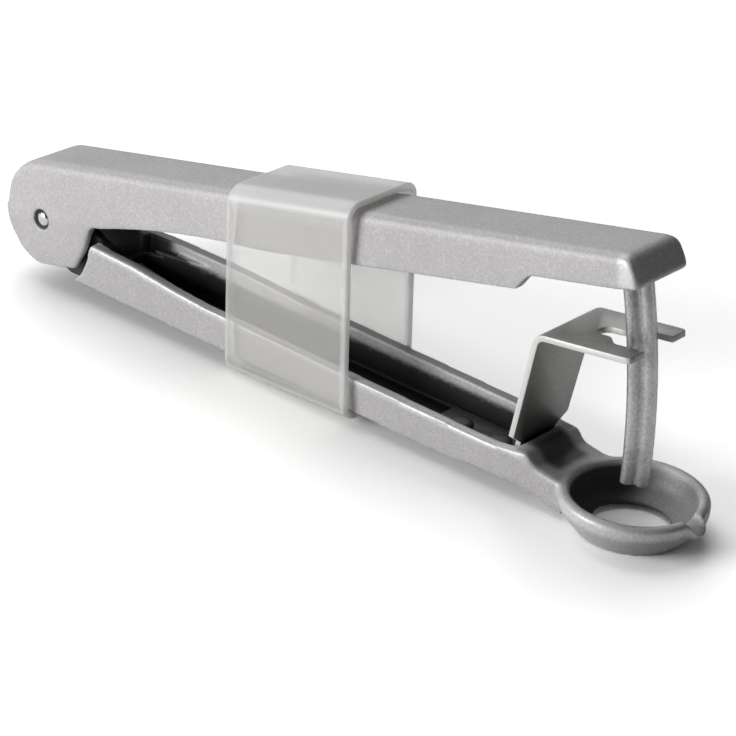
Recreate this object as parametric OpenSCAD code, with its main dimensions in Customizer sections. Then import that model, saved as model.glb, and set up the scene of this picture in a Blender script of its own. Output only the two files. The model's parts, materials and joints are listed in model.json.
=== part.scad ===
// Hand-held cherry pitter: two cast channel levers on one hinge pin, a curved plunger,
// a bent stripper plate, a torsion spring and a loose storage sleeve.
// Millimetres. The tool lies on its cup and its sleeve, +X towards the cup, +Z up.

/* [Levers] */
// Distance from the hinge pin to the centre of the cup
reach = 150; // [146:1:154]
// Angle between the levers as they are stored under the sleeve, degrees
open_angle = 11.7; // [11.5:0.1:11.9]
// Width of the upper lever at the height of the hinge pin
upper_w = 16.7; // [16.5:0.1:16.8]
// Width of the lower lever near the top of its walls
lower_w = 16.4; // [16.2:0.1:16.5]
// Height of the upper lever's back above the hinge pin
upper_top = 12.65; // [12.5:0.05:12.75]
// Depth of the lower lever's underside below the hinge pin
lower_bottom = 10.9; // [10.8:0.1:11.1]
// Thickness of the cast side walls
wall = 2; // [1.8:0.1:2.1]
// Radius of the rounded hinge end
head_r = 11.7; // [11.5:0.1:11.8]

/* [Hinge pin and spring] */
// Radius of the hinge pin
pin_r = 1.75; // [1.6:0.05:1.9]
// Running clearance round the pin in the lower lever's lugs
pin_play = 0.05; // [0.03:0.01:0.08]
// Diameter of the spring wire
wire_d = 1.1; // [0.9:0.1:1.1]
// Mean radius of the spring coil
coil_r = 3.4; // [3.2:0.1:3.6]
// Spacing of the spring's turns
coil_pitch = 1.6; // [1.55:0.05:1.65]
// Half turns in the spring coil, an odd number so that both legs point forwards
coil_halves = 7; // [5, 7]

/* [Cup] */
// Outer radius of the cup's rim
rim_r = 14.05; // [13.8:0.05:14.3]
// Radius of the stone hole in the cup
hole_r = 7.15; // [6.8:0.05:7.4]
// Depth of the rim's crest below the hinge pin
rim_z = 5.3; // [5.1:0.1:5.5]
// Depth of the cup's foot below the hinge pin
foot_z = 12.6; // [12.4:0.1:12.8]

/* [Plunger] */
// Distance of a rib's crest from the plunger's centre line
rib_r = 3.2; // [3:0.1:3.4]
// Thickness of a rib
rib_w = 2.4; // [2.2:0.1:2.6]
// Depth of the plunger's tip below the hinge pin, as stored
tip_z = 2.9; // [2.4:0.1:3.4]
// Turn of the ribs round the plunger's own centre line, degrees
rib_turn = 16; // [0:1:20]

/* [Stripper] */
// Thickness of the bent sheet
sheet = 1.2; // [1:0.1:1.4]
// Length of the fork plate from its bend to its tips
plate_l = 20.9; // [19.5:0.1:21.5]
// Rise of the fork plate towards its tips, degrees
plate_tilt = 7.7; // [7:0.1:8]

/* [Sleeve] */
// Wall thickness of the storage sleeve
sleeve_t = 1.3; // [1.1:0.1:1.4]
// Width of the sleeve inside
sleeve_w = 17.4; // [17.2:0.1:17.6]
// Slack between the sleeve and the levers where it is tightest
sleeve_slack = 0.35; // [0.3:0.05:0.4]

/* [Hidden] */
$fn = 64;

cast_grey = "#b4b3b5";
sheet_grey = "#9a9a9c";
steel_grey = "#c9c9cc";
wire_grey = "#8f9094";
sleeve_milk = "#d3d2cc";

// The tool leans a little, because the loose sleeve stands on its hinge-side edge
rest_tilt = 0.78;
hinge_x = -77.06;
hinge_z = 14.79;

function unit(v) = v / norm(v);
function turned(s) = s > 180 ? s - 360 : s < -180 ? s + 360 : s;

// The points of a rounded corner p between its neighbours a and b, with a true radius r
function corner(a, p, b, r, n) =
    let (u = unit(a - p), v = unit(b - p), half = acos(u * v) / 2,
        c = p + unit(u + v) * r / sin(half), s = p + u * r / tan(half) - c, e = p + v * r / tan(half) - c,
        from = atan2(s.y, s.x), sweep = turned(atan2(e.y, e.x) - from))
    [for (k = [0 : n]) c + r * [cos(from + sweep * k / n), sin(from + sweep * k / n)]];

// An outline given as corners [x, y, radius]
function soft(c, n = 5) =
    let (m = len(c), q = [for (p = c) [p[0], p[1]]])
    [for (i = [0 : m - 1]) each
        c[i][2] == 0 ? [q[i]] : corner(q[(i + m - 1) % m], q[i], q[(i + 1) % m], c[i][2], n)];

function arc(c, r, a0, a1, n) =
    [for (k = [0 : n]) let (a = a0 + (a1 - a0) * k / n) c + r * [cos(a), sin(a)]];

// An edge from a to b that swells by h to its left
function bow(a, b, h, n) =
    let (d = unit(b - a))
    [for (k = [0 : n]) let (t = k / n) a + (b - a) * t + [-d.y, d.x] * 4 * h * t * (1 - t)];

// Solids from a side view in XZ, a cross-section in YZ and a plan in XY
module side(pts, w = 40) { rotate([90, 0, 0]) linear_extrude(w, center = true) polygon(pts); }
module across(pts, x0, x1) {
    translate([x0, 0, 0]) rotate([90, 0, 90]) linear_extrude(x1 - x0) polygon(pts);
}
module plan(pts, z0, z1) { translate([0, 0, z0]) linear_extrude(z1 - z0) polygon(pts); }
module block(x, y, z) {
    translate([x[0], y[0], z[0]]) cube([x[1] - x[0], y[1] - y[0], z[1] - z[0]]);
}
module y_rod(r, y0, y1, r_end = -1) {
    translate([0, y0, 0]) rotate([-90, 0, 0]) cylinder(r1 = r, r2 = r_end < 0 ? r : r_end, h = y1 - y0);
}

// The two lever frames, both with the hinge axis along Y through their origin
module in_lower() { translate([hinge_x, 0, hinge_z]) rotate([0, rest_tilt, 0]) children(); }
module in_upper() { in_lower() rotate([0, -open_angle, 0]) children(); }

// Upper lever, an inverted channel: round hinge head with two cheeks, notched skirt, solid nose
head_c = [0.6, upper_top - head_r];
cheek_z = -10.2;
cheek_low = [7.9, cheek_z];
cheek_mid = [12.2, -5.3];
cheek_high = [15.05, 0.05];
skirt_0 = [18, 0.12];
skirt_1 = [64, 1.65];
notch_low = [reach - 21.8, 3];
notch_high = [reach - 18.8, 5.92];
nose_low = [reach + 5.5, 6.2];
nose_high = [reach + 3.4, upper_top - 0.25];
nose_block_x = reach - 7;
roof = 2.2;
upper_draft = 0.067;
cheek_draft = 0.05;
function upper_half(z) = upper_w / 2 - (z > 0 ? upper_draft * z : -cheek_draft * z);

upper_side = concat(
    [head_c + [0, head_r], [head_c.x, cheek_z]],
    corner([0, cheek_z], cheek_low, cheek_mid, 0.9, 3),
    corner(cheek_low, cheek_mid, cheek_high, 9, 3),
    corner(cheek_mid, cheek_high, skirt_0, 2.6, 4),
    bow(skirt_0, skirt_1, 1.2, 8),
    corner(skirt_1, notch_low, notch_high, 1.6, 4),
    corner(notch_low, notch_high, nose_low, 3, 4),
    corner(notch_high, nose_low, nose_high, 0.8, 3),
    corner(nose_low, nose_high, head_c + [0, head_r], 2.6, 6));
upper_across = soft([[-upper_half(-12), -12, 0], [upper_half(-12), -12, 0], [upper_w / 2, 0, 0],
    [upper_half(upper_top), upper_top, 2], [-upper_half(upper_top), upper_top, 2], [-upper_w / 2, 0, 0]]);
nose_round = 2.5;
nose_plan = soft([[-20, -upper_w / 2, 0], [nose_low.x, -upper_w / 2, nose_round],
    [nose_low.x, upper_w / 2, nose_round], [-20, upper_w / 2, 0]]);
// The head's edges are rounded above its parting line and nearly sharp below it
edge_above = 2;
edge_below = 0.5;
parting = 172;
function head_section(r) = soft([[0, -upper_w / 2, 0], [head_r, -upper_w / 2, r], [head_r, upper_w / 2, r],
    [0, upper_w / 2, 0]]);

inner_half = upper_w / 2 - wall;
roof_z = upper_top - roof;
hollow_side = concat(
    arc(head_c, head_r - wall, 90, 235, 14),
    [[-4, -16], [nose_block_x, -16], [nose_block_x, roof_z]]);
hollow_across = soft([[-inner_half, -16, 0], [inner_half, -16, 0], [inner_half, 0, 0],
    [inner_half - upper_draft * roof_z, roof_z, 1], [-inner_half + upper_draft * roof_z, roof_z, 1],
    [-inner_half, 0, 0]]);

// Plunger: a cross-ribbed rod bent round the hinge axis, so that it follows its own arc
arc_r = reach - 0.3;
root_z = 10.4;
plunger_low = -open_angle - asin(tip_z / arc_r);
plunger_high = asin(root_z / arc_r);
rib_section = soft([for (q = [0 : 3], k = [0 : 2])
    let (p = [[rib_r, -rib_w / 2, rib_w / 2 - 0.02], [rib_r, rib_w / 2, rib_w / 2 - 0.02],
        [rib_w / 2, rib_w / 2, 0.7]][k], c = cos(90 * q + rib_turn), s = sin(90 * q + rib_turn))
    [c * p[0] - s * p[1], s * p[0] + c * p[1], p[2]]], 4);
module plunger_sweep() {
    rotate([90, 0, 0]) rotate([0, 0, plunger_low])
        rotate_extrude(angle = plunger_high - plunger_low)
            translate([arc_r, 0]) polygon(rib_section);
}

module upper_lever() {
    color(cast_grey) in_upper() difference() {
        intersection() {
            union() {
                side(upper_side);
                intersection() {
                    translate([head_c.x, 0, head_c.y]) rotate([90, 0, 0]) union() {
                        rotate([0, 0, 80])
                            rotate_extrude(angle = parting - 79) polygon(head_section(edge_above));
                        rotate([0, 0, parting])
                            rotate_extrude(angle = 280 - parting) polygon(head_section(edge_below));
                    }
                    block([-20, head_c.x + 0.5], [-20, 20], [cheek_z, 20]);
                }
            }
            across(upper_across, -20, reach + 20);
            plan(nose_plan, -20, 20);
        }
        intersection() {
            side(hollow_side);
            across(hollow_across, -20, reach + 20);
        }
        y_rod(pin_r, -10, 10);
        for (s = [0, 180]) rotate([0, 0, s]) y_rod(pin_r + 0.45, upper_w / 2 - 0.8, 10);
        plunger_sweep();
    }
}

module plunger() { color(sheet_grey) in_upper() plunger_sweep(); }

// Hinge pin, pressed in the cheeks, with low domed ends
module hinge_pin() {
    pin_end = upper_w / 2 - 0.5;
    color(steel_grey) in_upper() union() {
        y_rod(pin_r, -pin_end, pin_end);
        for (s = [0, 180]) rotate([0, 0, s]) y_rod(pin_r, pin_end, pin_end + 0.35, pin_r - 0.6);
    }
}

// Lower lever: an open channel with two hinge lugs, a solid neck and the cup
lower_draft = 0.064;
floor_z = -lower_bottom + 1.7;
function wall_top(x) = -0.63 - 0.014 * x;
function lower_half(z) = lower_w / 2 + lower_draft * (z + 1.5);
// The walls end behind in an arc round the hinge pin, clear of the cheeks
shoulder_r = 14.5;
shoulder_high = [shoulder_r, wall_top(shoulder_r)];
waist_x0 = reach - 38;
waist_x1 = reach - 17;
swell_start = [17, wall_top(17)];
swell_end = [60, wall_top(60)];
neck_step = [reach - 19.4, wall_top(reach - 19.4)];
neck_foot = [reach - 17.2, -4.6];
neck_rim = [reach - 12.5, -rim_z];
lower_side = concat(
    bow([waist_x0, -lower_bottom], [waist_x1, -lower_bottom], 0.9, 8),
    [[reach - 9, -foot_z], [reach - 9, -rim_z]],
    corner([reach - 9, -rim_z], neck_rim, neck_foot, 4, 3),
    corner(neck_rim, neck_foot, neck_step, 1, 3),
    corner(neck_foot, neck_step, swell_end, 1, 3),
    bow(swell_end, swell_start, -0.55, 8),
    corner(swell_start, shoulder_high, [shoulder_r, -5], 0.9, 3),
    arc([0, 0], shoulder_r, -8, -asin(lower_bottom / shoulder_r), 8));
lower_across = soft([[-lower_half(-lower_bottom), -lower_bottom, 1.4], [-lower_half(-foot_z), -foot_z - 3, 0],
    [lower_half(-foot_z), -foot_z - 3, 0], [lower_half(-lower_bottom), -lower_bottom, 1.4],
    [lower_half(0), 0, 0.6], [-lower_half(0), 0, 0.6]]);

// The near wall is a little lower than the far one
near_dip = [[14, 5], [14, -0.85], [27, -1.3], [39, -2.5], [48, -3.1], [60, -3.2], [reach - 32, -3.7],
    [reach - 27, -3.6], [reach - 22.8, -3], [reach - 20, wall_top(reach - 20)], [reach - 20, 5]];

trough_half = lower_w / 2 - wall - 0.55;
trough_x1 = reach - 22.6;
trough_plan = soft([[20.6, -2.4, 2], [37, -trough_half, 8], [trough_x1, -trough_half, 0.5],
    [trough_x1, trough_half, 0.5], [37, trough_half, 8], [20.6, 2.4, 2]]);
trough_across = soft([[-trough_half, floor_z, 0.6], [trough_half, floor_z, 0.6],
    [trough_half, 5, 0], [-trough_half, 5, 0]], 3);

lug_r = 7.6;
lug_half = 5.5;
lug_x1 = 18.5;
pocket_half = 3.6;
pocket_x1 = 18.6;
web_z = -3.5;
lug_side = [[0, lug_r], [6.8, 3.4], [lug_x1, -1.6], [lug_x1, -6.6], [24, -7.2], [24, -lower_bottom],
    [6.2, -lower_bottom], [-4.6, -6.1]];
// Between the lugs and the trough's thin end wall the lever is open over its full width
bay_x1 = 27.4;
bay_z = -7.2;
bay_wall = 0.9;
web_top = -2.6;

// Cup: a rounded rim, a hollowed bowl down to the stone hole, a narrow foot
lip_z = -foot_z + 1.15;
cup_section = soft([[hole_r, lip_z, 0], [hole_r + 0.8, -foot_z, 0], [10.4, -foot_z, 0.5], [13.9, -8.4, 3],
    [rim_r, -rim_z, 1.1], [rim_r - 2.3, -rim_z, 0.9], [rim_r - 3.1, -9.6, 5]]);
bowl_section = concat([[0, 6], [0, -foot_z - 2], [hole_r, -foot_z - 2], [hole_r, lip_z]],
    corner([hole_r, lip_z], [rim_r - 3.1, -9.6], [rim_r - 2.3, -rim_z], 5, 5),
    [[rim_r - 2.1, -rim_z - 0.6], [rim_r - 1.9, 6]]);
spout_r = 2.5;
spout_c = [reach + 13.1, 0, -6.9];

module lower_lever() {
    color(cast_grey) in_lower() difference() {
        union() {
            difference() {
                intersection() {
                    side(lower_side);
                    across(lower_across, 0, reach);
                }
                translate([reach, 0, -20]) cylinder(r = rim_r - 1.4, h = 30);
            }
            intersection() {
                union() {
                    y_rod(lug_r, -lug_half, lug_half);
                    side(lug_side, 2 * lug_half);
                }
                block([-10, 24], [-lug_half, lug_half], [-lower_bottom, 10]);
            }
            translate([reach, 0, 0]) rotate_extrude() polygon(cup_section);
            intersection() {
                translate(spout_c) sphere(r = spout_r);
                block([reach, reach + 20], [-5, 5], [-foot_z, -rim_z]);
            }
        }
        intersection() {
            plan(trough_plan, floor_z - 1, 5);
            across(trough_across, 0, reach);
        }
        intersection() {
            side(near_dip);
            block([0, reach], [-12, -trough_half + 0.2], [-8, 6]);
        }
        block([lug_x1, 40], [-trough_half, trough_half], [web_top, 6]);
        translate([0, 0, bay_z]) linear_extrude(12) difference() {
            translate([lug_x1, -trough_half]) square([bay_x1 - lug_x1, 2 * trough_half]);
            offset(delta = bay_wall) polygon(trough_plan);
        }
        block([-12, 5], [-pocket_half, pocket_half], [-15, 12]);
        block([4, pocket_x1], [-pocket_half, pocket_half], [floor_z, 12]);
        block([4, 25], [-pocket_half, pocket_half], [web_z, 12]);
        y_rod(pin_r + pin_play, -10, 10);
        translate([reach, 0, 0]) rotate_extrude() polygon(bowl_section);
        translate([reach + 9, 0, -rim_z + 1.2]) rotate([0, 102, 0]) cylinder(r = 2.2, h = 10);
        translate([reach - 15.8, 0, -5.1]) cylinder(r = 1.5, h = 2);
        for (x = rivet_x) translate([x, 0, -20]) cylinder(r = rivet_r, h = 30);
    }
}

// Stripper: a sheet bent into a foot, a leaning leg and a forked plate
leg_lean = 0.174;
leg_x0 = reach - 23.46;
bend_z = 22.4;
plate_rise = tan(plate_tilt);
bend_x = leg_x0 + leg_lean * bend_z;
foot_x = reach - 46.5;
foot_top = floor_z + sheet;
leg_thick = sheet * norm([1, leg_lean]);
plate_thick = sheet * norm([1, plate_rise]);
inner_bend_x = (leg_x0 + leg_thick + leg_lean * (bend_z - plate_thick - plate_rise * bend_x))
    / (1 - leg_lean * plate_rise);
inner_bend_z = bend_z - plate_thick + plate_rise * (inner_bend_x - bend_x);
tip = [bend_x + plate_l * cos(plate_tilt), bend_z + plate_l * sin(plate_tilt)];
stripper_side = soft([[foot_x, floor_z, 0],
    [leg_x0 + leg_lean * floor_z + leg_thick, floor_z, 2],
    [inner_bend_x, inner_bend_z, 1.6],
    [tip.x + sheet * sin(plate_tilt), tip.y - sheet * cos(plate_tilt), 0],
    [tip.x, tip.y, 0],
    [bend_x, bend_z, 2.8],
    [leg_x0 + leg_lean * foot_top, foot_top, 0.7],
    [foot_x, foot_top, 0]]);
foot_half = 5.2;
leg_half = 8.2;
plate_half = 8.7;
stripper_front = [[-foot_half, -12], [foot_half, -12], [foot_half, -2.5], [leg_half, -0.3],
    [plate_half, bend_z], [plate_half, 40], [-plate_half, 40], [-plate_half, bend_z], [-leg_half, -0.3],
    [-foot_half, -2.5]];
fork_mouth = soft([[8, -1.9, 1.85], [12, -1.9, 2], [14.4, -4.3, 1.5], [30, -4.3, 0], [30, 4.3, 0],
    [14.4, 4.3, 1.5], [12, 1.9, 2], [8, 1.9, 1.85]]);
plate_plan = soft([[-40, -plate_half, 0], [plate_l + 0.2, -plate_half, 1.2], [plate_l + 0.2, plate_half, 1.2],
    [-40, plate_half, 0]]);

module stripper() {
    color(sheet_grey) in_lower() difference() {
        intersection() {
            side(stripper_side);
            across(stripper_front, 0, reach + 20);
            translate([bend_x, 0, bend_z]) rotate([0, -plate_tilt, 0]) plan(plate_plan, -50, 10);
        }
        translate([bend_x, 0, bend_z]) rotate([0, -plate_tilt, 0]) plan(fork_mouth, -5, 5);
        for (x = rivet_x) translate([x, 0, -20]) cylinder(r = rivet_r, h = 30);
    }
}

// Two rivets that hold the stripper's foot on the channel floor
rivet_x = [reach - 41, reach - 31.5];
rivet_r = 1.5;
module stripper_rivets() {
    color(steel_grey) in_lower() for (x = rivet_x) translate([x, 0, 0]) union() {
        translate([0, 0, -lower_bottom]) cylinder(r = rivet_r, h = foot_top + lower_bottom);
        translate([0, 0, foot_top]) cylinder(r1 = 2.5, r2 = 1.6, h = 0.9);
    }
}

// Torsion spring: one wire from the lower leg round the coil to the upper leg
leg_drop = 15.4;
leg_climb = 28.6;
leg_low = 19.4;
leg_high = 22;
coil_from = -90 - leg_drop;
coil_sweep = 180 * coil_halves - leg_drop - leg_climb;
coil_w = coil_pitch * coil_sweep / 360;
coil_rings = round(coil_sweep / 15);
function coil_point(a, y) = [coil_r * cos(a), y, coil_r * sin(a)];
wire_path = concat(
    [for (k = [4 : -1 : 1]) coil_point(coil_from, -coil_w / 2)
        + leg_low * k / 4 * [cos(leg_drop), 0, -sin(leg_drop)]],
    [for (k = [0 : coil_rings]) coil_point(coil_from - coil_sweep * k / coil_rings,
        coil_w * (k / coil_rings - 0.5))],
    [for (k = [1 : 4]) coil_point(coil_from - coil_sweep, coil_w / 2)
        + leg_high * k / 4 * [cos(leg_climb), 0, sin(leg_climb)]]);
wire_angle = concat([for (k = [1 : 4]) coil_from],
    [for (k = [0 : coil_rings]) coil_from - coil_sweep * k / coil_rings],
    [for (k = [1 : 4]) coil_from - coil_sweep]);
wire_sides = 6;
wire_rings = len(wire_path);
wire_points = [for (i = [0 : wire_rings - 1], k = [0 : wire_sides - 1])
    let (a = wire_angle[i], q = 360 * k / wire_sides)
    wire_path[i] + wire_d / 2 * (cos(q) * [cos(a), 0, sin(a)] + sin(q) * [0, 1, 0])];
wire_faces = concat(
    [for (i = [0 : wire_rings - 2], k = [0 : wire_sides - 1], h = [0, 1])
        let (p = i * wire_sides + k, q = i * wire_sides + (k + 1) % wire_sides)
        h == 0 ? [p, q, q + wire_sides] : [p, q + wire_sides, p + wire_sides]],
    [for (k = [1 : wire_sides - 2]) [0, k + 1, k]],
    [for (k = [1 : wire_sides - 2]) let (e = (wire_rings - 1) * wire_sides) [e, e + k, e + k + 1]]);
wire_gap = min([for (i = [0 : wire_rings - 1], j = [i + 12 : wire_rings - 1])
    norm(wire_path[i] - wire_path[j])]) - wire_d;
module torsion_spring() {
    echo(least_gap_between_turns = wire_gap);
    color(wire_grey) in_lower() polyhedron(wire_points, wire_faces);
}

// Storage sleeve: a loose band round both levers, its back parallel with the upper lever
sleeve_side = [[56.6, -30], [89.1, -30], [85.2, 50], [54.2, 50]];
sleeve_half = sleeve_w / 2;
sleeve_low = [88.6, -lower_bottom - sleeve_slack];
sleeve_droop = 2.6;
sleeve_round = 2.1;
// A trough with rounded corners, grown outwards by t
module trough_form(t) {
    half = sleeve_half + t;
    across(soft([[-half, -t, sleeve_round + t], [half, -t, sleeve_round + t], [half, 60, 0], [-half, 60, 0]]),
        -90, 90);
}
module loop_form(t) {
    intersection() {
        translate([sleeve_low.x, 0, sleeve_low.y]) rotate([0, -sleeve_droop, 0]) trough_form(t);
        rotate([0, -open_angle, 0]) translate([70, 0, upper_top + sleeve_slack]) mirror([0, 0, 1])
            trough_form(t);
    }
}
module storage_sleeve() {
    color(sleeve_milk) in_lower() difference() {
        intersection() {
            side(sleeve_side);
            loop_form(sleeve_t);
        }
        loop_form(0);
    }
}

lower_lever();
upper_lever();
plunger();
hinge_pin();
torsion_spring();
stripper();
stripper_rivets();
storage_sleeve();
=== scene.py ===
import json
import math
import bmesh
import bpy
import numpy as np
from mathutils import Matrix, Vector


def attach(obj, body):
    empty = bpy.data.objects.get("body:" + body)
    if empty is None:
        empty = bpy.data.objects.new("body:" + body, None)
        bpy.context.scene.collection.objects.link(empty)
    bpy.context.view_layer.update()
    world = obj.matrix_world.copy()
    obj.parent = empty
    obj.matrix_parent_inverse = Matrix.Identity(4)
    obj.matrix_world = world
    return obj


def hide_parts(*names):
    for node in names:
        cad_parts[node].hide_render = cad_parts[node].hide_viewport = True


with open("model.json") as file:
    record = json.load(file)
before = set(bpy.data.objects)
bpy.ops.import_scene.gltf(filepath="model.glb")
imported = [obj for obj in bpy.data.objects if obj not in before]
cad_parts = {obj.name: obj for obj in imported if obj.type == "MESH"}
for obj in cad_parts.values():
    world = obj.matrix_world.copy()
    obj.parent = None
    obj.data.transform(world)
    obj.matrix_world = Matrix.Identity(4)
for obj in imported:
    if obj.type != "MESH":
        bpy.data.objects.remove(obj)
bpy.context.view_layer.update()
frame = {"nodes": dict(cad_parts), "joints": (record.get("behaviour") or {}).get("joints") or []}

MM = 0.001

# The hinge axis, and the lean of the lower lever on its cup and sleeve
hinge = Vector(next(j["pos_m"] for j in frame["joints"] if j["name"] == "lever_hinge"))
lean = Matrix.Rotation(math.radians(0.78), 3, "Y")
# From the hinge axis to the middle of the cup, and between the two levers as they are stored
reach = 150.0
open_angle = 11.7


def from_lower(x, y, z):
    """A point of the lower lever, in millimetres from the hinge axis, in the CAD frame."""
    return hinge + lean @ Vector((x, y, z)) * MM


def lower_coords(co):
    """Mesh points in millimetres, measured from the hinge axis along the lower lever."""
    return (np.asarray(co, float) - np.array(hinge)) @ np.array(lean) / MM


def upper_coords(co):
    """The same along the upper lever as it is stored."""
    turn = np.array(Matrix.Rotation(math.radians(-open_angle), 3, "Y"))
    return lower_coords(co) @ turn


# Looks: colours and node trees

# A Mix node's colour sockets, whose names its other sockets have too
COLOUR_A, COLOUR_B, COLOUR_OUT = 6, 7, 2


def linear(code):
    """An sRGB hex colour as linear red, green, blue and alpha."""
    parts = [int(code[i:i + 2], 16) / 255 for i in (1, 3, 5)]
    return [c / 12.92 if c <= 0.04045 else ((c + 0.055) / 1.055) ** 2.4 for c in parts] + [1.0]


def level(value):
    """A plain number as the colour of a ramp's stop."""
    return value, value, value, 1


def add(tree, kind, settings=None, links=None):
    """Adds a node, sets its properties, input values or a ramp's stops, and links other nodes'
    outputs to its inputs."""
    n = tree.nodes.new(kind)
    for key, value in (settings or {}).items():
        if key == "stops":
            while len(n.color_ramp.elements) < len(value):
                n.color_ramp.elements.new(0.5)
            for element, (place, colour) in zip(n.color_ramp.elements, value):
                element.position = place
                element.color = colour
        elif isinstance(key, str) and hasattr(n, key) and key not in n.inputs:
            setattr(n, key, value)
        else:
            n.inputs[key].default_value = value
    for key, source in (links or {}).items():
        tree.links.new(source, n.inputs[key])
    return n


def new_finish(name):
    m = bpy.data.materials.new(name)
    m.use_nodes = True
    m.node_tree.nodes.clear()
    return m, m.node_tree


# What is left of a colour where hardly any light gets down into a lever's channel
painted_shade_colour = "#0f0f0f"


def silver_lacquer():
    """Silver lacquer with fine metal flake, sprayed on die-cast aluminium: a satin grey with a
    sparkling grain, paler at its sharp edges where it is worn, with painted highlights on the
    marked beads, and painted shade, near black, down in the channels. Two point values say where."""
    m, t = new_finish("silver_lacquer_on_die_cast")
    place = add(t, "ShaderNodeTexCoord").outputs["Object"]
    # Flake clusters are 0.03 mm across in truth, drawn at 0.3 mm so that the camera sees them.
    # The lacquer's skin is pebbled at 0.6 mm, and the coat is uneven over 14 mm or so
    flake = add(t, "ShaderNodeTexVoronoi", {"Scale": 1 / (0.3 * MM), "Randomness": 1.0},
                {"Vector": place})
    grain = add(t, "ShaderNodeTexNoise", {"Scale": 1 / (0.6 * MM), "Detail": 3.0, "Roughness": 0.6},
                {"Vector": place}).outputs["Fac"]
    cloud = add(t, "ShaderNodeTexNoise", {"Scale": 1 / (14 * MM), "Detail": 2.0},
                {"Vector": place}).outputs["Fac"]
    flake_grey = add(t, "ShaderNodeSeparateColor",
                     links={"Color": flake.outputs["Color"]}).outputs["Red"]
    speckle = add(t, "ShaderNodeMath", {"operation": "MULTIPLY_ADD", 1: 0.45},
                  {0: flake_grey, 2: grain}).outputs[0]
    greys = [(0.3, linear("#b3b1b1")), (0.72, linear("#bcbaba")), (1.0, linear("#cbc9c9"))]
    shade = add(t, "ShaderNodeValToRGB", {"stops": greys}, {"Fac": speckle}).outputs["Color"]
    coat = add(t, "ShaderNodeValToRGB", {"stops": [(0.35, level(0.93)), (0.65, level(1.0))]},
               {"Fac": cloud}).outputs["Color"]
    shade = add(t, "ShaderNodeMix", {"data_type": "RGBA", "blend_type": "MULTIPLY", "Factor": 1.0},
                {COLOUR_A: shade, COLOUR_B: coat}).outputs[COLOUR_OUT]
    # Sharp edges are worn through in places to bright metal, partly wear and partly painted
    # highlight, and the marked beads carry a painted highlight
    bent = add(t, "ShaderNodeNewGeometry").outputs["Pointiness"]
    edge = add(t, "ShaderNodeValToRGB", {"stops": [(0.51, level(0.0)), (0.6, level(0.7))]},
               {"Fac": bent}).outputs["Color"]
    bead = add(t, "ShaderNodeAttribute", {"attribute_name": "rubbed"}).outputs["Fac"]
    edge = add(t, "ShaderNodeMath", {"operation": "MAXIMUM"}, {0: edge, 1: bead}).outputs[0]
    wear_and_painted_light = add(t, "ShaderNodeMath", {"operation": "MULTIPLY"}, {0: edge, 1: grain}).outputs[0]
    shade = add(t, "ShaderNodeMix", {"data_type": "RGBA", COLOUR_B: linear("#e6e6e8")},
                {"Factor": wear_and_painted_light, COLOUR_A: shade}).outputs[COLOUR_OUT]
    # Painted shade: down in the channels the colour is darkened towards near black
    painted_shade_factor = add(t, "ShaderNodeAttribute", {"attribute_name": "depth_in_channel"}).outputs["Fac"]
    shade = add(t, "ShaderNodeMix", {"data_type": "RGBA", COLOUR_B: linear(painted_shade_colour)},
                {"Factor": painted_shade_factor, COLOUR_A: shade}).outputs[COLOUR_OUT]
    rough = add(t, "ShaderNodeMapRange", {"To Min": 0.46, "To Max": 0.6},
                {"Value": grain}).outputs[0]
    rough = add(t, "ShaderNodeMath", {"operation": "MULTIPLY_ADD", 1: -0.12},
                {0: wear_and_painted_light, 2: rough}).outputs[0]
    bare = add(t, "ShaderNodeMapRange", {"To Min": 0.1, "To Max": 0.4}, {"Value": wear_and_painted_light}).outputs[0]
    bump = add(t, "ShaderNodeBump", {"Strength": 0.2, "Distance": 0.04 * MM}, {"Height": speckle})
    skin = add(t, "ShaderNodeBsdfPrincipled",
               links={"Base Color": shade, "Metallic": bare, "Roughness": rough,
                      "Normal": bump.outputs[0]})
    add(t, "ShaderNodeOutputMaterial", links={"Surface": skin.outputs[0]})
    return m


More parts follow.
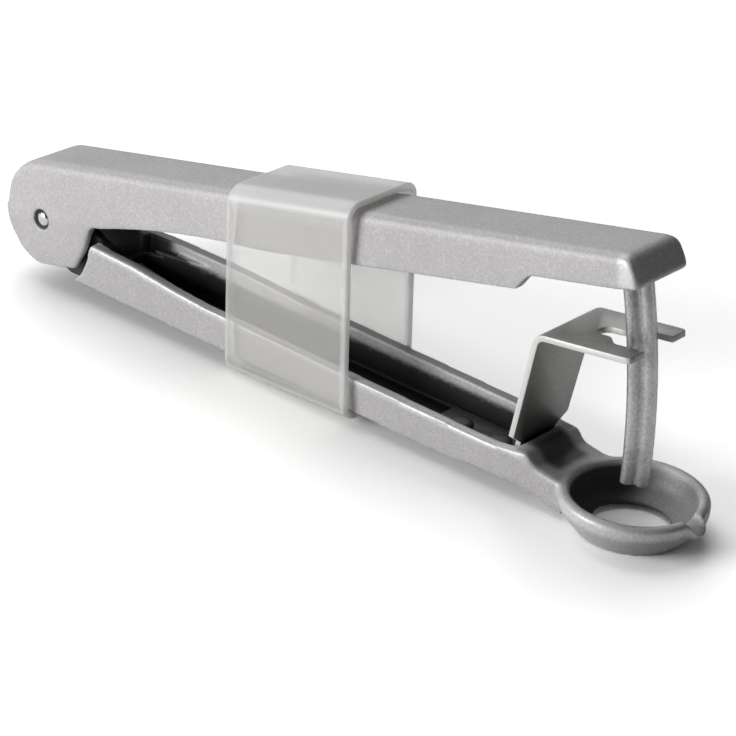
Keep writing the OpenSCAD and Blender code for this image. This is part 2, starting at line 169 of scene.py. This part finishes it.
def rolled_sheet():
    """Mill-finished aluminium sheet, blanked and bent: dull grey with faint rolling lines along
    it, pale at its blanked edges, partly a painted highlight, with painted light on its top, and
    darkened by painted shade where it stands down in the channel. Two point values say where."""
    m, t = new_finish("rolled_aluminium_sheet")
    place = add(t, "ShaderNodeTexCoord").outputs["Object"]
    # Rolling lines a tenth of a millimetre wide, drawn at 0.3 mm, run along the sheet
    stretched = add(t, "ShaderNodeMapping", {"Scale": (0.06, 1.0, 0.06)}, {"Vector": place})
    lines = add(t, "ShaderNodeTexNoise", {"Scale": 1 / (0.3 * MM), "Detail": 2.0},
                {"Vector": stretched.outputs[0]}).outputs["Fac"]
    grain = add(t, "ShaderNodeTexNoise", {"Scale": 1 / (0.7 * MM), "Detail": 3.0},
                {"Vector": place}).outputs["Fac"]
    both = add(t, "ShaderNodeMath", {"operation": "MULTIPLY_ADD", 1: 0.6},
               {0: lines, 2: grain}).outputs[0]
    greys = [(0.45, linear("#91918b")), (1.0, linear("#aaaaa5"))]
    shade = add(t, "ShaderNodeValToRGB", {"stops": greys}, {"Fac": both}).outputs["Color"]
    # Paler blanked edges, partly a painted highlight, and painted light on the plate's top
    pale_edge_and_light = add(t, "ShaderNodeAttribute", {"attribute_name": "sheared"}).outputs["Fac"]
    shade = add(t, "ShaderNodeMix", {"data_type": "RGBA", COLOUR_B: linear("#dededc")},
                {"Factor": pale_edge_and_light, COLOUR_A: shade}).outputs[COLOUR_OUT]
    # Painted shade where the sheet stands down in the channel
    painted_shade_factor = add(t, "ShaderNodeAttribute", {"attribute_name": "depth_in_channel"}).outputs["Fac"]
    shade = add(t, "ShaderNodeMix", {"data_type": "RGBA", COLOUR_B: linear(painted_shade_colour)},
                {"Factor": painted_shade_factor, COLOUR_A: shade}).outputs[COLOUR_OUT]
    rough = add(t, "ShaderNodeMapRange", {"To Min": 0.36, "To Max": 0.5}, {"Value": lines})
    bump = add(t, "ShaderNodeBump", {"Strength": 0.15, "Distance": 0.03 * MM}, {"Height": both})
    skin = add(t, "ShaderNodeBsdfPrincipled", {"Metallic": 0.15},
               {"Base Color": shade, "Roughness": rough.outputs[0], "Normal": bump.outputs[0]})
    add(t, "ShaderNodeOutputMaterial", links={"Surface": skin.outputs[0]})
    return m


def cast_rod():
    """Bare die-cast aluminium with its skin left on: grey, finely pitted, dull, and darkened by
    painted shade down in the flutes between the ribs."""
    m, t = new_finish("bare_die_cast_rod")
    place = add(t, "ShaderNodeTexCoord").outputs["Object"]
    # Pits of 0.2 mm are drawn at 0.6 mm so that they show, and the skin is blotched at 5 mm
    pits = add(t, "ShaderNodeTexNoise", {"Scale": 1 / (0.6 * MM), "Detail": 4.0, "Roughness": 0.65},
               {"Vector": place}).outputs["Fac"]
    blotch = add(t, "ShaderNodeTexNoise", {"Scale": 1 / (5 * MM), "Detail": 2.0},
                 {"Vector": place}).outputs["Fac"]
    both = add(t, "ShaderNodeMath", {"operation": "MULTIPLY_ADD", 1: 0.5},
               {0: blotch, 2: pits}).outputs[0]
    greys = [(0.5, linear("#8e8e8f")), (0.95, linear("#bebebf"))]
    shade = add(t, "ShaderNodeValToRGB", {"stops": greys}, {"Fac": both}).outputs["Color"]
    # Painted shade: the colour darkens where the skin curves inward, down in the flutes
    bent = add(t, "ShaderNodeNewGeometry").outputs["Pointiness"]
    flutes = [(0.46, level(0.3)), (0.5, level(0.86)), (0.56, level(1.0))]
    form = add(t, "ShaderNodeValToRGB", {"stops": flutes}, {"Fac": bent}).outputs["Color"]
    shade = add(t, "ShaderNodeMix", {"data_type": "RGBA", "blend_type": "MULTIPLY", "Factor": 1.0},
                {COLOUR_A: shade, COLOUR_B: form}).outputs[COLOUR_OUT]
    rough = add(t, "ShaderNodeMapRange", {"To Min": 0.34, "To Max": 0.55}, {"Value": pits})
    bump = add(t, "ShaderNodeBump", {"Strength": 0.3, "Distance": 0.06 * MM}, {"Height": pits})
    skin = add(t, "ShaderNodeBsdfPrincipled", {"Metallic": 0.8},
               {"Base Color": shade, "Roughness": rough.outputs[0], "Normal": bump.outputs[0]})
    add(t, "ShaderNodeOutputMaterial", links={"Surface": skin.outputs[0]})
    return m


def drawn_metal(name, dark, pale, smoothest, roughest):
    """Metal drawn through a die and left bare: shiny steel for the pin and the spring, dull
    aluminium for the rivets, all with fine scratches."""
    m, t = new_finish(name)
    place = add(t, "ShaderNodeTexCoord").outputs["Object"]
    # Scratches of a few hundredths of a millimetre, drawn at 0.25 mm so that they show
    scratch = add(t, "ShaderNodeTexNoise", {"Scale": 1 / (0.25 * MM), "Detail": 3.0},
                  {"Vector": place}).outputs["Fac"]
    greys = [(0.35, linear(dark)), (0.65, linear(pale))]
    shade = add(t, "ShaderNodeValToRGB", {"stops": greys}, {"Fac": scratch}).outputs["Color"]
    rough = add(t, "ShaderNodeMapRange", {"To Min": smoothest, "To Max": roughest},
                {"Value": scratch})
    skin = add(t, "ShaderNodeBsdfPrincipled", {"Metallic": 1.0},
               {"Base Color": shade, "Roughness": rough.outputs[0]})
    add(t, "ShaderNodeOutputMaterial", links={"Surface": skin.outputs[0]})
    return m


def milky_polyethylene():
    """Natural low-density polyethylene, moulded: milky and hazy, so that what lies close behind
    shows through it softened, and whiter and more opaque at the rims, the roof and the bottom
    bends, partly as one looks along the wall there and partly as painted light. The point values
    "rim" say where."""
    m, t = new_finish("milky_polyethylene")
    place = add(t, "ShaderNodeTexCoord").outputs["Object"]
    # Flow marks about 9 mm long, and the mould's fine skin, drawn at 0.7 mm so that it shows
    flow = add(t, "ShaderNodeTexNoise", {"Scale": 1 / (9 * MM), "Detail": 3.0, "Distortion": 0.6},
               {"Vector": place}).outputs["Fac"]
    fine = add(t, "ShaderNodeTexNoise", {"Scale": 1 / (0.7 * MM), "Detail": 2.0},
               {"Vector": place}).outputs["Fac"]
    whites = [(0.3, linear("#f3f1eb")), (0.7, linear("#f9f7f1"))]
    shade = add(t, "ShaderNodeValToRGB", {"stops": whites}, {"Fac": flow}).outputs["Color"]
    # Whiter and more opaque where the point values mark: partly the rims' edge-on look, partly
    # painted light
    rim = add(t, "ShaderNodeAttribute", {"attribute_name": "rim"}).outputs["Fac"]
    shade = add(t, "ShaderNodeMix", {"data_type": "RGBA", COLOUR_B: linear("#fffefa")},
                {"Factor": rim, COLOUR_A: shade}).outputs[COLOUR_OUT]
    milk = add(t, "ShaderNodeMapRange", {"To Min": 0.3, "To Max": 0.76}, {"Value": rim})
    rough = add(t, "ShaderNodeMapRange", {"To Min": 0.25, "To Max": 0.36}, {"Value": fine})
    bump = add(t, "ShaderNodeBump", {"Strength": 0.12, "Distance": 0.05 * MM}, {"Height": flow})
    skin = add(t, "ShaderNodeBsdfPrincipled",
               {"Metallic": 0.0, "IOR": 1.51, "Subsurface Weight": 1.0,
                "Subsurface Radius": (1.0, 1.0, 0.95), "Subsurface Scale": 2.5 * MM},
               {"Base Color": shade, "Roughness": rough.outputs[0], "Alpha": milk.outputs[0],
                "Normal": bump.outputs[0]})
    add(t, "ShaderNodeOutputMaterial", links={"Surface": skin.outputs[0]})
    return m


# Pieces

def piece(name, mesh, finish, body, slot, *nodes):
    """Puts a piece in the scene, riding on its body, in place of the CAD nodes it stands for."""
    o = bpy.data.objects.new(name, mesh)
    bpy.context.scene.collection.objects.link(o)
    mesh.materials.clear()
    mesh.materials.append(finish)
    for p in mesh.polygons:
        p.use_smooth = True
    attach(o, body)
    if nodes:
        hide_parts(*nodes)


def mesh_from(b, name):
    mesh = bpy.data.meshes.new(name)
    b.to_mesh(mesh)
    b.free()
    return mesh


def closed_mesh_from(b, name):
    """The same for a skin built face by face, with all of its faces turned outward."""
    bmesh.ops.recalc_face_normals(b, faces=b.faces)
    return mesh_from(b, name)


def worked(mesh, *modifiers):
    """The mesh with modifiers applied, given as (kind, settings)."""
    o = bpy.data.objects.new("work", mesh)
    bpy.context.scene.collection.objects.link(o)
    for kind, settings in modifiers:
        mod = o.modifiers.new(kind, kind)
        for key, value in settings.items():
            setattr(mod, key, value)
    bpy.context.view_layer.update()
    done = bpy.data.meshes.new_from_object(o.evaluated_get(bpy.context.evaluated_depsgraph_get()))
    bpy.data.objects.remove(o)
    return done


def points_of(mesh):
    co = np.empty(len(mesh.vertices) * 3)
    mesh.vertices.foreach_get("co", co)
    return co.reshape(-1, 3)


def normals_of(mesh):
    out = np.empty(len(mesh.vertices) * 3)
    mesh.vertices.foreach_get("normal", out)
    return out.reshape(-1, 3)


def point_values(mesh, name, values):
    a = mesh.attributes.new(name, "FLOAT", "POINT")
    a.data.foreach_set("value", np.asarray(values, np.float32))


def cad_form(node):
    """A CAD node's form to work on, with the corners that its triangles share joined."""
    b = bmesh.new()
    b.from_mesh(frame["nodes"][node].data)
    bmesh.ops.remove_doubles(b, verts=b.verts, dist=1e-6)
    return b


def softened(node, voxel, passes, keep, extra=None):
    """A casting's skin: the CAD form with its edges run out as a die and lacquer leave them,
    redrawn in cells of so many millimetres, smoothed and thinned to the share to keep.
    extra gives a weight for further rounding at each point."""
    mesh = worked(mesh_from(cad_form(node), node + "_solid"),
                  ("REMESH", {"mode": "VOXEL", "voxel_size": voxel * MM, "adaptivity": 0.0}),
                  ("SMOOTH", {"factor": 0.5, "iterations": passes}))
    if extra:
        extra_passes = 36
        co, more = points_of(mesh), extra(points_of(mesh))
        ends = np.empty(len(mesh.edges) * 2, int)
        mesh.edges.foreach_get("vertices", ends)
        a, b = ends.reshape(-1, 2).T
        near = np.bincount(a, minlength=len(co)) + np.bincount(b, minlength=len(co))
        for _ in range(extra_passes):
            total = np.stack([np.bincount(a, co[b, i], len(co)) + np.bincount(b, co[a, i], len(co))
                              for i in range(3)], 1)
            co = co + 0.5 * more[:, None] * (total / near[:, None] - co)
        mesh.vertices.foreach_set("co", co.ravel())
    return worked(mesh, ("DECIMATE", {"ratio": keep}))


def eased(node, width):
    """A blanked piece: the CAD form with each sharp edge broken by a small round."""
    b = cad_form(node)
    bmesh.ops.dissolve_limit(b, angle_limit=math.radians(1.0), verts=b.verts, edges=b.edges)
    return worked(mesh_from(b, node + "_eased"),
                  ("BEVEL", {"width": width * MM, "segments": 2, "limit_method": "ANGLE",
                             "angle_limit": math.radians(35), "harden_normals": False}))


def smoothstep(v, a, b):
    """0 below a, 1 above b, and a soft step between them."""
    t = np.clip((v - a) / (b - a), 0, 1)
    return t * t * (3 - 2 * t)


def within(v, a, b, c, d):
    """1 from b to c, with a soft step down to 0 at a and at d."""
    return smoothstep(v, a, b) * (1 - smoothstep(v, c, d))


# The two castings. In their marks, x runs along the lever, y away from the near side and z up,
# in millimetres from the hinge axis, and nx, ny and nz say which way the skin faces

def near_bead(x, y, z):
    """Where the near wall's top edge is, as a weight from 0 to 1."""
    top = np.interp(x, [14, 27, 39, 48, 60, reach - 32, reach - 23],
                    [-0.85, -1.3, -2.5, -3.1, -3.2, -3.7, -3.0])
    along = within(x, 13, 15, reach - 22, reach - 18)
    return along * smoothstep(-y, 5.0, 5.4) * smoothstep(z - top, -1.6, -0.8)


def lower_rounding(co):
    """The neck, its foot and the near wall's top run out more than the straight walls do."""
    x, y, z = lower_coords(co).T
    neck = within(x, reach - 26, reach - 21, reach - 13, reach - 9)
    neck_foot = smoothstep(x, reach - 26, reach - 21) * (x < reach - 7) * smoothstep(-z, 8.5, 9.5)
    return np.maximum(0.9 * np.maximum(neck, neck_foot), 0.35 * near_bead(x, y, z))


def mark_lower(mesh):
    """Marks where painted shade darkens the lower lever and where painted highlights brighten it.
    """
    x, y, z = lower_coords(points_of(mesh)).T
    nx, ny, nz = normals_of(mesh).T
    # Painted shade: the trough is lit to a small depth under its edges, and not at all under the
    # upper lever
    trough_half, trough_end = 5.9, 130
    trough = (np.abs(y) < trough_half) & (x > -12) & (x < trough_end)
    covered = np.where(y < 4.6, 1 - smoothstep(x, 30, 36), 1 - smoothstep(x, 24, 27))
    lit_depth = np.interp(x, [27, 42], [1.9, 3.2])
    dark = np.maximum(smoothstep(-z, lit_depth, lit_depth + 1.3),
                      covered * smoothstep(-z, -8, -4))
    # The far lug's face keeps a little light and the near ledge a lighter painted shade, as both
    # catch some light
    far_lug = smoothstep(y, 3.2, 3.5) * within(x, 11.5, 12.5, 18, 20)
    near_ledge = (z > -3.2) & (nz > 0.6) & (x > 25) & (x < 42) & (y < -1)
    inside = np.where(trough, np.where(near_ledge, 0.4, (0.97 - 0.25 * far_lug) * dark), 0)
    # The far wall's top edge lies in the shade of the upper lever
    far_top = (y > trough_half) & (x > 14) & (x < trough_end)
    far_top = 0.55 * far_top * smoothstep(nz, 0.5, 0.8)
    # A painted shadow band runs across the neck
    neck_band = within(x, reach - 22, reach - 20, reach - 15, reach - 13)
    neck_band = neck_band * smoothstep(nz, 0.3, 0.7) * (1 - smoothstep(np.abs(y), 3.5, 5.5))
    # Painted shade darkens the bowl of the cup on the side towards the hinge
    radius = np.hypot(x - reach, y)
    inward = -(nx * (x - reach) + ny * y) / radius
    bowl = (radius < 12.2) * smoothstep(inward, 0.1, 0.4) * smoothstep(-z, 5.7, 6.7)
    bowl = bowl * (0.45 + 0.5 * smoothstep(reach - x, 2, 7))
    point_values(mesh, "depth_in_channel",
                 np.maximum.reduce([inside, 0.85 * neck_band, bowl, far_top]))
    # Painted highlights on the near wall's top and the near half of the cup's rim
    rim_bead = smoothstep(radius, 11.6, 12.4) * smoothstep(z, -8.2, -7.2) * (x > reach - 12)
    rim_bead = rim_bead * (1 - smoothstep(y, -3, 3))
    point_values(mesh, "rubbed", np.maximum(near_bead(x, y, z), 0.9 * rim_bead))


def upper_rounding(co):
    """The top edges, the hinge end, the nose and the cheeks' lower ends are the roundest."""
    x, _, z = upper_coords(co).T
    top = smoothstep(z, 8.5, 10)
    ends = np.maximum(1 - smoothstep(x, -9.5, -8), smoothstep(x, reach + 0.5, reach + 2.5))
    cheek = within(x, 4, 6, 13.5, 15) * (1 - smoothstep(z, 0.5, 2))
    return 0.6 * np.maximum(np.maximum(top, ends), cheek)


def mark_upper(mesh):
    """Marks where painted shade darkens the upper lever and where a painted highlight brightens it.
    """
    x, y, z = upper_coords(points_of(mesh)).T
    from_axis = np.hypot(x, z)
    # Painted shade inside the upper lever's hollow and in the ring of the pin's recess
    inside = (np.abs(y) < 6.5) & (z < 10.7) & (x < reach - 6.5) & ((x > 0) | (from_axis < 10.2))
    hollow = np.where(inside, 0.9 * smoothstep(z, 2.0, 9.0), 0)
    pin_recess = 1 - smoothstep(from_axis, 2.1, 2.4)
    point_values(mesh, "depth_in_channel", np.maximum(hollow, 0.85 * pin_recess))
    # A painted highlight on the nose's near corner
    nose_corner = 1 - smoothstep(np.hypot(x - reach - 3.0, y + 7.4), 1.2, 2.6)
    point_values(mesh, "rubbed", nose_corner)


lacquer = silver_lacquer()

lower = softened("lower_lever", voxel=0.26, passes=6, keep=0.45, extra=lower_rounding)
mark_lower(lower)
piece("lower_lever_casting", lower, lacquer, "lower_body", "cast_lower", "lower_lever")

upper = softened("upper_lever", voxel=0.28, passes=6, keep=0.45, extra=upper_rounding)
mark_upper(upper)
piece("upper_lever_casting", upper, lacquer, "upper_body", "cast_upper", "upper_lever")

rod = softened("plunger", voxel=0.14, passes=2, keep=0.5)
piece("ribbed_plunger", rod, cast_rod(), "upper_body", "plunger_metal", "plunger")


def mark_sheet(mesh):
    """Marks the sheet's pale blanked edges, partly a painted highlight, the painted light on the
    plate's top, and the painted shade where it stands in the channel.
    """
    z = lower_coords(points_of(mesh))[:, 2]
    nx, ny, nz = normals_of(mesh).T
    # Painted light on the plate's top; the edges facing sideways are paler, partly a painted
    # highlight
    rubbed = 0.35 * smoothstep(nz, 0.7, 0.9) * smoothstep(z, 0, 4)
    point_values(mesh, "sheared", np.maximum(smoothstep(np.abs(ny), 0.35, 0.8), rubbed))
    # Painted shade on the leg's root and on the foot down in the channel
    leg_root = smoothstep(-z, -0.8, 1.8) * smoothstep(nx, 0.3, 0.6)
    foot = 0.72 * smoothstep(-z, 6.0, 7.0)
    point_values(mesh, "depth_in_channel", 0.97 * np.maximum(leg_root, foot))


sheet = eased("stripper", width=0.16)
mark_sheet(sheet)
piece("stripper_plate", sheet, rolled_sheet(), "lower_body", "stripper_sheet", "stripper")


def sleeve_band():
    """The sleeve as one closed skin of quads: round the loop, and along the band over one rim, back
    inside and over the other rim. Its rims carry more milk, partly for their edge-on look and
    partly as painted light, and its roof and bottom corners carry more as painted light."""
    wall, half_width, bend = 1.3, 8.7, 2.1
    bend_steps, side_steps, flat_steps = 8, 16, 12
    to_hinge, to_cup = 1, -1

    def floor_line(x):
        """The height of the sleeve's inner face under the levers."""
        return -11.25 + (x - 88.6) * math.tan(math.radians(2.6))

    def roof_line(x):
        """The height of its inner face over the levers."""
        return 27.17 + (x - 65.86) * math.tan(math.radians(open_angle))

    def rim_line(end, z):
        """Where a rim stands along the levers. Both lean to the hinge at the top."""
        return 56.6 - (z + 30) * 0.03 if end == to_hinge else 89.1 - (z + 30) * 0.04875

    # Along the band: the way in from a rim, that rim, and the share of the wall's thickness
    along = [0.15, 0.5, 1.0, 1.5, 2.0, 2.6, 3.6, 5.5, 8, 11, 14]
    over = [(0.15 * (1 - math.sin(a)), 0.5 + 0.5 * math.cos(a))
            for a in np.linspace(0, math.pi, 7)[1:-1]]
    path = [(d, to_hinge, 1.0) for d in along] + [(d, to_cup, 1.0) for d in reversed(along)]
    path += [(d, to_cup, o) for d, o in over]
    path += [(d, to_cup, 0.0) for d in along] + [(d, to_hinge, 0.0) for d in reversed(along)]
    path += [(d, to_hinge, o) for d, o in reversed(over)]
    # Round the loop: the side, the height from floor to roof, and the way that the wall faces
    loop = []
    for corner, (side, top) in enumerate([(1, 0), (1, 1), (-1, 1), (-1, 0)]):
        for k in range(bend_steps + 1):
            a = math.radians(-90 + 90 * corner + 90 * k / bend_steps)
            loop.append((side, top, math.cos(a), math.sin(a)))
        if corner % 2 == 0:
            for k in range(1, side_steps):
                loop.append((side, top + side * k / side_steps, side, 0.0))
        else:
            for k in range(1, flat_steps):
                loop.append((side * (1 - 2 * k / flat_steps), top, 0.0, 1.0 if top else -1.0))

    b = bmesh.new()
    rings, milk = [], []
    for d, end, o in path:
        ring = []
        for side, top, out, rise in loop:
            # The rims lean and the floor and roof slope, so x and z are closed in on together
            z = 8.0
            for _ in range(4):
                x = rim_line(end, z) + end * d
                low, high = floor_line(x) + bend, roof_line(x) - bend
                z = low + (high - low) * top + (bend + wall * o) * rise
            y = side * (half_width - bend) + (bend + wall * o) * out
            ring.append(b.verts.new(from_lower(x, y, z)))
            # More milk at the rims, partly their edge-on look and partly painted light, and at the
            # roof and bottom corners as painted light only
            far_side = smoothstep(y, 6.5, 8.5)
            edge = 0.9 if end == to_cup else 0.5 - 0.45 * far_side
            edge = edge * (1 - smoothstep(d, 0.6, 1.5))
            foot = 0.8 * (1 - smoothstep(z - floor_line(x), 0.9, 1.9))
            roof = 0.7 * smoothstep(z - roof_line(x), -2.4, -1.6)
            milk.append(max(edge, foot, roof))
        rings.append(ring)
    for one, two in zip(rings, rings[1:] + rings[:1]):
        for k in range(len(loop)):
            n = (k + 1) % len(loop)
            b.faces.new([one[k], one[n], two[n], two[k]])
    mesh = closed_mesh_from(b, "sleeve_band")
    point_values(mesh, "rim", milk)
    return mesh


piece("sleeve_band", sleeve_band(), milky_polyethylene(), "sleeve_body", "sleeve_plastic",
      "storage_sleeve")


def turned_piece(profile, sides=48):
    """A mesh turned about Z from (radius, height) pairs in millimetres."""
    b = bmesh.new()
    rings = []
    for r, z in profile:
        if r == 0:
            rings.append([b.verts.new((0, 0, z * MM))])
        else:
            rings.append([b.verts.new((r * MM * math.cos(2 * math.pi * k / sides),
                                       r * MM * math.sin(2 * math.pi * k / sides), z * MM))
                          for k in range(sides)])
    for low, high in zip(rings, rings[1:]):
        for k in range(sides):
            ring = [low[k % len(low)], low[(k + 1) % len(low)],
                    high[(k + 1) % len(high)], high[k % len(high)]]
            face = list(dict.fromkeys(ring))
            if len(face) > 2:
                b.faces.new(face)
    return closed_mesh_from(b, "turned")


# The pin's ends are slightly domed and stand a little back from the upper lever's sides
upper_width, set_back = 16.7, 0.15
pin_r, pin_half = 1.75, upper_width / 2 - set_back
dome = [(0, 0), (0.7, 0.04), (1.3, 0.2), (1.66, 0.48), (pin_r, 0.8)]
pin = turned_piece([(r, -pin_half + back) for r, back in dome] + [(pin_r, 0)]
                   + [(r, pin_half - back) for r, back in reversed(dome)])
pin.transform(Matrix.Translation(hinge) @ Matrix.Rotation(math.radians(90), 4, "X"))
pin_steel = drawn_metal("bright_drawn_steel", "#a4a4a6", "#c8c8ca", 0.18, 0.3)
piece("hinge_pin_steel", pin, pin_steel, "upper_body", "pin_steel", "hinge_pin")

# A rivet's shank goes down through the channel's floor, and its low head sits on the sheet
rivet_profile = [(0, -10.85), (1.4, -10.85), (1.5, -10.75), (1.5, -8.0), (2.5, -7.98),
                 (2.55, -7.75), (2.3, -7.35), (1.5, -7.05), (0, -6.95)]
both_rivets = bmesh.new()
for x in (reach - 41, reach - 31.5):
    rivet = turned_piece(rivet_profile, sides=32)
    rivet.transform(Matrix.Translation(hinge) @ lean.to_4x4()
                    @ Matrix.Translation((x * MM, 0, 0)))
    both_rivets.from_mesh(rivet)
rivet_metal = drawn_metal("aluminium_rivet", "#4a4a48", "#62625f", 0.5, 0.62)
piece("foot_rivets", mesh_from(both_rivets, "rivets"), rivet_metal, "lower_body", "rivet_metal",
      "stripper_rivets")


def spring_path():
    """The middle line of the spring's wire with its angle round the coil at each point, with the
    same turns as the solid: the coil with its lower leg, and the upper leg with the coil's end."""
    coil_r, pitch = 3.4, 1.6
    lower_leg, upper_leg = 19.4, 22
    drop, climb = math.radians(15.4), math.radians(28.6)
    leg_steps, coil_steps, overlap = 8, 140, 3
    start = -math.pi / 2 - drop
    sweep = 7 * math.pi - drop - climb
    width = pitch * sweep / (2 * math.pi)
    path, turn = [], []
    first = Vector((coil_r * math.cos(start), -width / 2, coil_r * math.sin(start)))
    for k in range(leg_steps, 0, -1):
        down = Vector((math.cos(drop), 0, -math.sin(drop)))
        path.append(first + down * lower_leg * k / leg_steps)
        turn.append(start)
    for k in range(coil_steps + 1):
        a = start - sweep * k / coil_steps
        path.append(Vector((coil_r * math.cos(a), width * (k / coil_steps - 0.5),
                            coil_r * math.sin(a))))
        turn.append(a)
    last, coil_end = path[-1], len(path)
    for k in range(1, leg_steps + 1):
        up = Vector((math.cos(climb), 0, math.sin(climb)))
        path.append(last + up * upper_leg * k / leg_steps)
        turn.append(start - sweep)
    leg_start = coil_end - overlap
    return (path[:coil_end], turn[:coil_end]), (path[leg_start:], turn[leg_start:])


def wire(path, turn):
    """Round spring wire along a path, closed at both ends."""
    wire_r, sides = 0.55, 12
    b = bmesh.new()
    rings = []
    for centre, a in zip(path, turn):
        out, along = Vector((math.cos(a), 0, math.sin(a))), Vector((0, 1, 0))
        ring = []
        for k in range(sides):
            round_wire = 2 * math.pi * k / sides
            off = out * math.cos(round_wire) + along * math.sin(round_wire)
            ring.append(b.verts.new(from_lower(*(centre + off * wire_r))))
        rings.append(ring)
    for one, two in zip(rings, rings[1:]):
        for k in range(sides):
            b.faces.new([one[k], one[(k + 1) % sides], two[(k + 1) % sides], two[k]])
    b.faces.new(rings[0])
    b.faces.new(list(reversed(rings[-1])))
    return closed_mesh_from(b, "spring_wire")


# One wire in two pieces, because its upper leg presses on the upper lever and turns with it
spring_steel = drawn_metal("spring_wire_steel", "#7d7d80", "#b4b4b8", 0.2, 0.34)
coil_part, upper_leg_part = spring_path()
piece("spring_coil", wire(*coil_part), spring_steel, "lower_body", "spring_wire", "torsion_spring")
piece("spring_upper_leg", wire(*upper_leg_part), spring_steel, "upper_body", "spring_wire")


# Studio: pale floor, soft light, camera at the photograph's angle

def pale_floor():
    """Smooth white paper, pressed: no gloss, and fibres that hardly show."""
    m, t = new_finish("pale_paper_floor")
    place = add(t, "ShaderNodeTexCoord").outputs["Object"]
    fibre = add(t, "ShaderNodeTexNoise", {"Scale": 1 / (2 * MM), "Detail": 2.0},
                {"Vector": place}).outputs["Fac"]
    whites = [(0.0, linear("#fafafa")), (1.0, linear("#ffffff"))]
    shade = add(t, "ShaderNodeValToRGB", {"stops": whites}, {"Fac": fibre}).outputs["Color"]
    # The lamps are low, so the paper shows lighter than it is lit, most on the side away from
    # them, and less close to the object, where a painted shadow, from ambient occlusion, darkens it
    across = add(t, "ShaderNodeSeparateXYZ", links={0: place}).outputs["X"]
    lift = add(t, "ShaderNodeMapRange",
               {"From Min": -0.06, "From Max": 0.1, "To Min": 1.9, "To Max": 2.5},
               {"Value": across}).outputs[0]
    near = add(t, "ShaderNodeAmbientOcclusion", {"samples": 12, "Distance": 60 * MM}).outputs["AO"]
    shadow = add(t, "ShaderNodeMapRange",
                 {"From Min": 0.3, "From Max": 1.0, "To Min": 0.67, "To Max": 1.0},
                 {"Value": near}).outputs[0]
    lift = add(t, "ShaderNodeMath", {"operation": "MULTIPLY"}, {0: lift, 1: shadow}).outputs[0]
    lifted = add(t, "ShaderNodeVectorMath", {"operation": "SCALE"}, {0: shade, "Scale": lift})
    paper = add(t, "ShaderNodeBsdfDiffuse", links={"Color": lifted.outputs[0]})
    # Only what is seen is lifted. The light that the paper throws back on the object isn't
    grey = add(t, "ShaderNodeBsdfDiffuse", {"Color": linear("#b4b4b4")})
    ray = add(t, "ShaderNodeLightPath").outputs
    seen = add(t, "ShaderNodeMath", {"operation": "MAXIMUM"},
               {0: ray["Is Camera Ray"], 1: ray["Is Glossy Ray"]}).outputs[0]
    seen = add(t, "ShaderNodeMath", {"operation": "MAXIMUM"},
               {0: seen, 1: ray["Is Transmission Ray"]}).outputs[0]
    both = add(t, "ShaderNodeMixShader", links={0: seen, 1: grey.outputs[0], 2: paper.outputs[0]})
    add(t, "ShaderNodeOutputMaterial", links={"Surface": both.outputs[0]})
    return m


floor_half = 3
floor_corners = [(x * floor_half, y * floor_half, 0)
                 for x, y in ((-1, -1), (1, -1), (1, 1), (-1, 1))]
floor_mesh = bpy.data.meshes.new("floor")
floor_mesh.from_pydata(floor_corners, [], [(0, 1, 2, 3)])
floor_mesh.materials.append(pale_floor())
floor = bpy.data.objects.new("floor", floor_mesh)
bpy.context.scene.collection.objects.link(floor)

# The room is seen as white and gives only a little light
world = bpy.data.worlds.new("studio")
bpy.context.scene.world = world
world.use_nodes = True
wt = world.node_tree
wt.nodes.clear()
room = add(wt, "ShaderNodeBackground", {"Color": (1, 1, 1, 1), "Strength": 0.06})
white = add(wt, "ShaderNodeBackground", {"Color": (1, 1, 1, 1), "Strength": 1.0})
rays = add(wt, "ShaderNodeLightPath")
backdrop = add(wt, "ShaderNodeMixShader",
               links={0: rays.outputs["Is Camera Ray"], 1: room.outputs[0], 2: white.outputs[0]})
add(wt, "ShaderNodeOutputWorld", links={0: backdrop.outputs[0]})


def softbox(name, place, size, watts):
    """A rectangular lamp aimed at the middle of the object."""
    light = bpy.data.lights.new(name, "AREA")
    light.shape = "RECTANGLE"
    light.size, light.size_y = size
    light.energy = watts
    o = bpy.data.objects.new(name, light)
    bpy.context.scene.collection.objects.link(o)
    o.location = place
    aim = Vector((0, 0, 0.02))
    o.rotation_euler = (aim - Vector(place)).to_track_quat("-Z", "Y").to_euler()


softbox("overhead", (-0.45, 0.3, 0.65), size=(0.8, 0.9), watts=3.9)
softbox("front_left", (-0.6, -1.0, 0.3), size=(0.7, 0.5), watts=13.0)


def photo_camera():
    """The camera as fitted to the photograph, in degrees, and in millimetres of the lower lever."""
    azimuth, height, roll = (math.radians(a) for a in (39.722, 27.174, 3.901))
    aim, distance = (84.036, 1.345, -5.992), 524.87
    focal_pixels, photo_pixels, sensor_mm = 2677.67, 736, 36
    back = Vector((math.sin(azimuth) * math.cos(height), -math.cos(azimuth) * math.cos(height),
                   math.sin(height)))
    right = Vector((math.cos(azimuth), math.sin(azimuth), 0))
    up = back.cross(right)
    c, s = math.cos(roll), math.sin(roll)
    right, up = c * right + s * up, -s * right + c * up
    data = bpy.data.cameras.new("photo_camera")
    data.sensor_width = sensor_mm
    data.lens = focal_pixels * sensor_mm / photo_pixels
    data.clip_start = 0.01
    o = bpy.data.objects.new("photo_camera", data)
    bpy.context.scene.collection.objects.link(o)
    place = from_lower(*(a + b * distance for a, b in zip(aim, back)))
    axes = lean @ Matrix((right, up, back)).transposed()
    o.matrix_world = Matrix.Translation(place) @ axes.to_4x4()
    bpy.context.scene.camera = o


photo_camera()
bpy.context.scene.view_settings.view_transform = "Standard"
